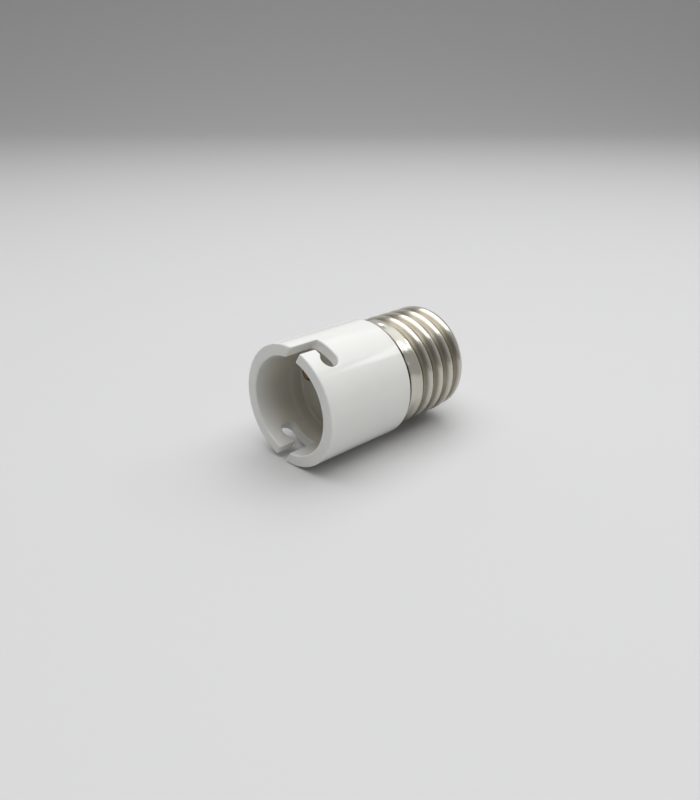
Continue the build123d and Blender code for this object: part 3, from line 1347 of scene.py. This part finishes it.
@dataclass
class ScrewCap:
    """Plated cap: a drawn shell, staked to the neck at its collar, with the thread rolled in."""

    axis: Axis
    radius: float
    start: float
    length: float
    sheet: float = 0.2
    end_radius: float = 2.5
    lip_radius: float = 8.7
    pitch: float = 3.629
    thread_depth: float = 1.046
    first_root: float = 26.45
    edge_length: float = 0.8
    edge_drop: float = 0.4
    joint_start: float = 0.7
    joint_end: float = 1.05
    fade_in: Flat = (0.0, 0.92)
    fade_out: Flat = (4.25, 4.67)
    dents: tuple[Dent, ...] = (
        Dent(angle=58.5, along=26.1, depth=0.28),
        Dent(angle=10.0, along=26.3, depth=0.20),
    )
    columns: int = 240
    rows: int = 132

    def build(self) -> bpy.types.Object:
        """Build and dress the cap.

        Returns:
            The finished piece.
        """
        rule = Rule("screw_cap_rule", self._sizes())
        rule.close(self._shape(rule), PLATING)
        return rule.piece("rolled_screw_cap", self.sheet)

    def _sizes(self) -> dict[str, float]:
        """Name the rule's inputs.

        Returns:
            The inputs in metres.
        """
        lengths = {
            "Crest radius": self.radius,
            "Collar start": self.start,
            "Length": self.length,
            "End radius": self.end_radius,
            "Lip radius": self.lip_radius,
            "Pitch": self.pitch,
            "Thread depth": self.thread_depth,
            "First root": self.first_root,
            "Edge length": self.edge_length,
            "Edge drop": self.edge_drop,
            "Joint start": self.joint_start,
            "Joint end": self.joint_end,
        }
        sizes = {name: length * MM for name, length in lengths.items()}
        return {**sizes, "Axis start": self.axis.start.y, "Axis height": self.axis.start.z}

    def _shape(self, rule: Rule) -> Field:
        """Write the cap's shape as a rule over a flat grid.

        Args:
            rule: the rule under construction.

        Returns:
            The cap's outer face, with its marks for the finish.
        """
        wiring, size = rule.wiring, rule.size
        side = 1.0
        sockets = {"Size X": side, "Size Y": side}
        sockets.update({"Vertices X": self.columns + 1, "Vertices Y": self.rows + 1})
        shape = wiring.node("GeometryNodeMeshGrid", None, sockets)
        flat = wiring.parts(wiring.node("GeometryNodeInputPosition"))
        turns, share = (part + side / 2 for part in flat[:2])
        along, radius = self._form(size, share)
        thread = self._thread(size, along, turns)
        radius = radius - thread - along.ramp(0.0, size["Edge length"], size["Edge drop"], 0.0)
        for dent in self.dents:
            for opposite in (0.0, 180.0):
                radius = radius - self._dent(size, dent, opposite, along, turns)
        angle = turns * (2 * math.pi)
        sockets = {
            "X": radius * angle.sine(),
            "Y": size["Axis start"] + size["Collar start"] + along,
            "Z": size["Axis height"] + radius * angle.cosine(),
        }
        place = wiring.node("ShaderNodeCombineXYZ", None, sockets)
        # Painted shadow: marks the collar's first millimetre, next to the barrel, for a near-black tint.
        joint = 1.0 - along.ramp(size["Joint start"], size["Joint end"])
        for name, value in (("groove", thread / size["Thread depth"]), ("joint", joint)):
            settings = {"data_type": "FLOAT", "domain": "POINT"}
            sockets = {"Geometry": shape, "Name": name, "Value": value}
            shape = wiring.node("GeometryNodeStoreNamedAttribute", settings, sockets)
        shape = wiring.node("GeometryNodeSetPosition", None, {"Geometry": shape, "Position": place})
        sockets = {"Geometry": shape, "Distance": MERGE_DISTANCE}
        return wiring.node("GeometryNodeMergeByDistance", None, sockets)

    @staticmethod
    def _form(size: dict[str, Field], share: Field) -> tuple[Field, Field]:
        """Follow the drawn shell from the collar's edge over the rounded end to the lip.

        Args:
            size: the rule's named inputs.
            share: share of the way along the sheet.

        Returns:
            Distance along the axis from the collar's edge, and distance from the axis.
        """
        rounding = size["End radius"]
        straight = size["Length"] - rounding
        quarter = math.pi / 2
        lip_length = size["Crest radius"] - rounding - size["Lip radius"]
        run = share * (straight + rounding * quarter + lip_length)
        bend = ((run - straight) / rounding).at_least(0.0).at_most(quarter)
        lip = (run - straight - rounding * quarter).at_least(0.0)
        along = run.at_most(straight) + rounding * bend.sine()
        radius = size["Crest radius"] - rounding * (1.0 - bend.cosine()) - lip
        return along, radius

    def _thread(self, size: dict[str, Field], along: Field, turns: Field) -> Field:
        """Depth of the rolled thread: an even wave, faded in behind the collar and out at the end.

        Args:
            size: the rule's named inputs.
            along: distance along the axis from the collar's edge.
            turns: turns round the axis.

        Returns:
            How far the sheet is pressed in.
        """
        pitch, depth = size["Pitch"], size["Thread depth"]
        phase = (along + size["Collar start"] - size["First root"]) / pitch - turns
        nearest = round(phase)
        pressed = depth * (0.5 + 0.5 * (phase * (2 * math.pi)).cosine())
        wound = turns + nearest
        return pressed * wound.ramp(*self.fade_in) * (1.0 - wound.ramp(*self.fade_out))

    @staticmethod
    def _dent(size: dict[str, Field], dent: Dent, opposite: float, along: Field, turns: Field) -> Field:
        """Depth of one stake.

        Args:
            size: the rule's named inputs.
            dent: the stake.
            opposite: angle by which it is carried round.
            along: distance along the axis from the collar's edge.
            turns: turns round the axis.

        Returns:
            How far the sheet is pressed in.
        """
        aside = (turns - (dent.angle + opposite) / 360.0) * (2 * math.pi) * size["Crest radius"]
        aside = aside / (dent.half_around * MM)
        ahead = (along + size["Collar start"] - dent.along * MM) / (dent.half_along * MM)
        away = (aside * aside + ahead * ahead).root()
        return away.ramp(0.0, 1.0, dent.depth * MM, 0.0)


@dataclass
class EndInsulator:
    """White plug in the cap's end, with a hollow conical nose."""

    axis: Axis
    start: float
    nose_end: float
    flange_radius: float = 10.65
    flange: float = 0.8
    nose_radius: float = 8.6
    tip_radius: float = 5.6
    wall: float = 1.0
    web: float = 1.2
    hole_radius: float = 1.25
    edge_rounding: float = 0.2
    tip_rounding: float = 0.6
    count: int = 128

    def build(self) -> bpy.types.Object:
        """Build and dress the plug.

        Returns:
            The finished piece.
        """
        shoulder = self.start + self.flange
        web_inner = self.nose_end - self.web
        taper = (self.nose_radius - self.tip_radius) / (self.nose_end - shoulder)
        web_radius = self.nose_radius - taper * (web_inner - shoulder) - self.wall
        hollow = self.nose_radius - self.wall
        inner_face = (hollow + self.flange_radius) / 2
        edge = self.edge_rounding
        return turned_piece("nose_insulator", NOSE_PLASTIC, self.axis, self.count, [
            Corner(inner_face, self.start),
            Corner(self.flange_radius, self.start, edge),
            Corner(self.flange_radius, shoulder, edge),
            Corner(self.nose_radius, shoulder, edge),
            Corner(self.tip_radius, self.nose_end, self.tip_rounding),
            Corner(self.hole_radius, self.nose_end, edge),
            Corner(self.hole_radius, web_inner, edge),
            Corner(web_radius, web_inner, edge),
            Corner(hollow, self.start, edge),
            Corner(inner_face, self.start),
        ])


@dataclass
class CentreContact:
    """Brass button on the nose, with its rivet closed over inside."""

    axis: Axis
    start: float
    end: float
    seat: float
    radius: float = 3.3
    rounding: float = 0.38
    rivet_radius: float = 1.2
    head_radius: float = 2.0
    head_height: float = 0.4
    small_rounding: float = 0.1
    count: int = 96

    def build(self) -> bpy.types.Object:
        """Build and dress the button.

        Returns:
            The finished piece.
        """
        head_end = self.start + self.head_height
        small = self.small_rounding
        return turned_piece("contact_button", BRASS, self.axis, self.count, [
            Corner(0.0, self.start),
            Corner(self.head_radius, self.start, small),
            Corner(self.head_radius, head_end, small),
            Corner(self.rivet_radius, head_end, small),
            Corner(self.rivet_radius, self.seat, small),
            Corner(self.radius, self.seat, small),
            Corner(self.radius, self.end, self.rounding),
            Corner(0.0, self.end),
        ])


@dataclass
class Plunger:
    """Turned brass contact pin, with the collar that its spring pushes on."""

    side: Body
    axis: Axis
    tip: float
    end: float
    radius: float = 2.0
    tip_rounding: float = 0.9
    collar_radius: float = 2.6
    collar_height: float = 1.0
    small_rounding: float = 0.12
    count: int = 64

    def build(self) -> bpy.types.Object:
        """Build and dress the pin.

        Returns:
            The finished piece.
        """
        collar = self.end - self.collar_height
        small = self.small_rounding
        name = f"contact_pin_{self.side.name.lower()}"
        made = turned_piece(name, PIN, self.axis, self.count, [
            Corner(0.0, self.tip),
            Corner(self.radius, self.tip, self.tip_rounding),
            Corner(self.radius, collar, small),
            Corner(self.collar_radius, collar, small),
            Corner(self.collar_radius, self.end, small),
            Corner(0.0, self.end),
        ])
        # Distance from the pin's axis, by which its material paints shade round the edge.
        edge = made.data.attributes.new("edge", "FLOAT", "POINT")
        for value, vertex in zip(edge.data, made.data.vertices):
            aside = vertex.co - self.axis.start
            value.value = math.hypot(aside.x, aside.z) / (self.radius * MM)
        return made


@dataclass
class CoilSpring:
    """Coil of flat wire behind a contact pin."""

    side: Body
    axis: Axis
    start: float
    end: float
    radius: float
    wire_width: float = 0.29
    wire_height: float = 0.59
    wire_rounding: float = 0.08
    rounding_steps: int = 2
    turns: float = 2.0
    steps: int = 40

    def build(self) -> bpy.types.Object:
        """Build and dress the spring.

        Returns:
            The finished piece.
        """
        sizes = {
            "Coil radius": (self.radius - self.wire_width / 2) * MM,
            "Wire width": self.wire_width * MM,
            "Wire height": self.wire_height * MM,
            "Wire rounding": self.wire_rounding * MM,
            "Length": (self.end - self.start - self.wire_height) * MM,
            "Turns": self.turns,
            "Axis across": self.axis.start.x,
            "Axis height": self.axis.start.z,
            "First wire": self.axis.start.y + (self.start + self.wire_height / 2) * MM,
        }
        rule = Rule("coil_spring_rule", sizes)
        rule.close(self._shape(rule), STEEL)
        return rule.piece(f"coil_spring_{self.side.name.lower()}")

    def _shape(self, rule: Rule) -> Field:
        """Write the spring as a flat wire wound round its axis.

        Args:
            rule: the rule under construction.

        Returns:
            The closed wire.
        """
        wiring, size = rule.wiring, rule.size
        radius = size["Coil radius"]
        sockets = {"Resolution": self.steps, "Rotations": size["Turns"], "Height": size["Length"]}
        sockets.update({"Start Radius": radius, "End Radius": radius})
        coil = wiring.node("GeometryNodeCurveSpiral", None, sockets)
        coil = wiring.node("GeometryNodeSetCurveNormal", {"mode": "Z_UP"}, {"Curve": coil})
        sockets = {"Width": size["Wire width"], "Height": size["Wire height"]}
        wire = wiring.node("GeometryNodeCurvePrimitiveQuadrilateral", {"mode": "RECTANGLE"}, sockets)
        sockets = {"Curve": wire, "Count": self.rounding_steps, "Radius": size["Wire rounding"]}
        wire = wiring.node("GeometryNodeFilletCurve", {"mode": "POLY"}, sockets)
        sockets = {"Curve": coil, "Profile Curve": wire, "Fill Caps": True}
        shape = wiring.node("GeometryNodeCurveToMesh", None, sockets)
        sockets = {"X": size["Axis across"], "Y": size["First wire"], "Z": size["Axis height"]}
        place = wiring.node("ShaderNodeCombineXYZ", None, sockets)
        lying = (-math.pi / 2, 0.0, 0.0)
        sockets = {"Geometry": shape, "Translation": place, "Rotation": lying}
        return wiring.node("GeometryNodeTransform", None, sockets)

    def shorten(self, spring: bpy.types.Object) -> None:
        """Let the spring shorten towards its seat as the pin goes in.

        Args:
            spring: the finished spring.
        """
        slide = f"{self.side.value}_slide"
        travel = next(joint["range_m"][1] for joint in frame["joints"] if joint["name"] == slide)
        seat_end = self.axis.point(0.0, 0.0, self.end)
        keep = 1.0 - travel / ((self.end - self.start) * MM)
        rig.squash(spring, slide, axis=(0.0, 1.0, 0.0), anchor=tuple(seat_end), keep=keep)


@dataclass(frozen=True)
class Lamp:
    """Soft lamp with an even, oblong face."""

    name: str
    place: Place
    width: float
    height: float
    power: float

    def hang(self, target: Place) -> None:
        """Hang the lamp.

        Args:
            target: the point it is turned to.
        """
        light = bpy.data.lights.new(self.name, "AREA")
        light.shape = "RECTANGLE"
        light.size = self.width
        light.size_y = self.height
        light.energy = self.power
        lamp = add_object(self.name, light)
        lamp.location = self.place
        lamp.rotation_euler = (Vector(target) - Vector(self.place)).to_track_quat("-Z", "Y").to_euler()


@dataclass
class Studio:
    """Pale floor with a swept backdrop, soft lamps and the photograph's camera."""

    camera_place: Place = (0.11425, -0.11679, 0.08045)
    camera_way: Place = (-0.6565, 0.6356, -0.4063)
    lens: float = 33.43
    near: float = 0.005
    floor_colour: Colour = (0.63, 0.63, 0.63)
    floor_roughness: float = 0.7
    floor_reach: float = 0.9
    floor_spread: float = 1.6
    sweep_radius: float = 0.5
    sweep_turn: float = 56.0
    sweep_steps: int = 24
    world_back: Colour = (0.42, 0.415, 0.41)
    world_front: Colour = (0.12, 0.118, 0.11)
    world_left: Colour = (0.65, 0.65, 0.66)
    world_high: Colour = (0.40, 0.405, 0.415)
    back_span: Flat = (-0.9, 0.1)
    left_span: Flat = (0.4, 1.1)
    high_span: Flat = (0.45, 0.95)
    lamp_target: Place = (0.0, 0.0, 0.014)
    lamps: tuple[Lamp, ...] = (
        Lamp("overhead", (0.0, 0.02, 0.62), width=0.8, height=0.8, power=3.9),
        Lamp("back", (-0.08, 0.51, 0.62), width=0.7, height=0.25, power=0.47),
        Lamp("back_right", (0.262, 0.628, 0.55), width=0.30, height=0.12, power=0.35),
    )

    def build(self) -> None:
        """Set the floor, the world, the lamps and the camera."""
        self._floor()
        self._world()
        for lamp in self.lamps:
            lamp.hang(self.lamp_target)
        self._camera()

    def _floor(self) -> None:
        """Lay the floor and sweep it up behind the part, square to the camera."""
        outline = [(-self.floor_reach, 0.0), (self.floor_reach, 0.0)]
        for step in range(1, self.sweep_steps + 1):
            turn = math.radians(self.sweep_turn) * step / self.sweep_steps
            ahead = self.floor_reach + self.sweep_radius * math.sin(turn)
            outline.append((ahead, self.sweep_radius * (1 - math.cos(turn))))
        ahead = Vector((self.camera_way[0], self.camera_way[1], 0.0)).normalized()
        aside = Vector((ahead.y, -ahead.x, 0.0))
        half = self.floor_spread * self.floor_reach
        places = []
        for distance, height in outline:
            middle = ahead * distance + Vector((0.0, 0.0, height))
            places.extend((middle - aside * half, middle + aside * half))
        faces = [(row, row + 1, row + 3, row + 2) for row in range(0, len(places) - 2, 2)]
        mesh = bpy.data.meshes.new("studio_floor")
        mesh.from_pydata(places, [], faces)
        mesh.shade_smooth()
        material = bpy.data.materials.new("studio_floor")
        material.use_nodes = True
        shader = material.node_tree.nodes["Principled BSDF"]
        shader.inputs["Base Color"].default_value = (*self.floor_colour, 1.0)
        shader.inputs["Roughness"].default_value = self.floor_roughness
        mesh.materials.append(material)
        made = add_object("studio_floor", mesh)
        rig.stage(made)

    def _world(self) -> None:
        """Light the surroundings: dim towards the part's mouth, pale overhead, bright behind on the left."""
        world = bpy.data.worlds.new("studio_world")
        bpy.context.scene.world = world
        world.use_nodes = True
        wiring = Wiring(world.node_tree)
        way = wiring.node("ShaderNodeTexCoord", output="Generated")
        aside, behind, height = wiring.parts(way)
        level = wiring.mix(behind.ramp(*self.back_span), self.world_front, self.world_back)
        level = wiring.mix((behind - aside).ramp(*self.left_span), level, self.world_left)
        colour = wiring.mix(height.ramp(*self.high_span), level, self.world_high)
        wiring.feed(world.node_tree.nodes["Background"].inputs["Color"], colour)

    def _camera(self) -> None:
        """Set the camera where the photograph was taken from."""
        data = bpy.data.cameras.new("photo_camera")
        data.lens = self.lens
        data.clip_start = self.near
        camera = add_object("photo_camera", data)
        camera.location = self.camera_place
        camera.rotation_euler = Vector(self.camera_way).to_track_quat("-Z", "Y").to_euler()
        bpy.context.scene.camera = camera


def seat(piece: bpy.types.Object, node: str, body: Body, slot: Slot) -> None:
    """Put a finished piece in a node's place.

    Args:
        piece: the finished piece.
        node: the node that it stands for.
        body: the body that it moves with.
        slot: the record's slot that its finish belongs to.
    """
    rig.replaces(piece, node)
    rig.ride(piece, body.value)
    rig.slot(piece, slot.value)
    LOG.info("%s: %d faces", piece.name, len(piece.data.polygons))


def dress(node: str, finish: Finish) -> None:
    """Give a carried-over node its finish.

    Args:
        node: the node's name.
        finish: the finish.
    """
    for place in frame["nodes"][node].material_slots:
        place.material = finish.material()
    LOG.info("%s: %s", node, finish.name)


def main() -> None:
    """Build the pieces in order, dress them and set the studio."""
    logging.basicConfig(level=logging.INFO, format="%(name)s: %(message)s")
    body_low, body_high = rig.box("holder_body")
    mouth = Vector(((body_low.x + body_high.x) / 2, body_low.y, (body_low.z + body_high.z) / 2))
    axis = Axis(mouth)

    def along(place: float) -> float:
        """Distance from the mouth of a place along the frame's Y."""
        return (place - mouth.y) / MM

    # The neck ends under the shell strip's tab, for which the solid's neck has a notch.
    tab_room = 0.3
    holder = HolderBody(axis, (body_high.x - body_low.x) / 2 / MM, along(body_high.y) - tab_room)
    seat(holder.build(), "holder_body", Body.ADAPTER, Slot.PLASTIC)
    low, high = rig.box("screw_cap")
    cap = ScrewCap(axis, (high.x - low.x) / 2 / MM, along(low.y), (high.y - low.y) / MM)
    seat(cap.build(), "screw_cap", Body.ADAPTER, Slot.CAP)
    low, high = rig.box("end_insulator")
    insulator = EndInsulator(axis, along(low.y), along(high.y))
    seat(insulator.build(), "end_insulator", Body.ADAPTER, Slot.PLASTIC)
    nose_end = along(high.y)
    low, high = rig.box("centre_contact")
    contact = CentreContact(axis, along(low.y), along(high.y), nose_end)
    seat(contact.build(), "centre_contact", Body.ADAPTER, Slot.BRASS)
    for side in (Body.LEFT, Body.RIGHT):
        low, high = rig.box(side.value)
        pin_axis = Axis(Vector(((low.x + high.x) / 2, mouth.y, (low.z + high.z) / 2)))
        pin = Plunger(side, pin_axis, along(low.y), along(high.y))
        seat(pin.build(), side.value, side, Slot.BRASS)
        node = f"plunger_spring_{side.name.lower()}"
        low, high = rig.box(node)
        spring = CoilSpring(side, pin_axis, along(low.y), along(high.y), (high.x - low.x) / 2 / MM)
        piece = spring.build()
        seat(piece, node, Body.ADAPTER, Slot.STEEL)
        spring.shorten(piece)
    for node in ("centre_strip", "shell_strip"):
        dress(node, BRASS)
    Studio().build()
    bpy.context.scene.view_settings.view_transform = "Standard"
    boxes = {"cad": [list(corner) for corner in CAD_BOX], "visual": [list(corner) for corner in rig.bounds()]}
    with open(SIZE_FILE, "w", encoding="utf-8") as file:
        json.dump(boxes, file)


if __name__ == "__main__":
    main()
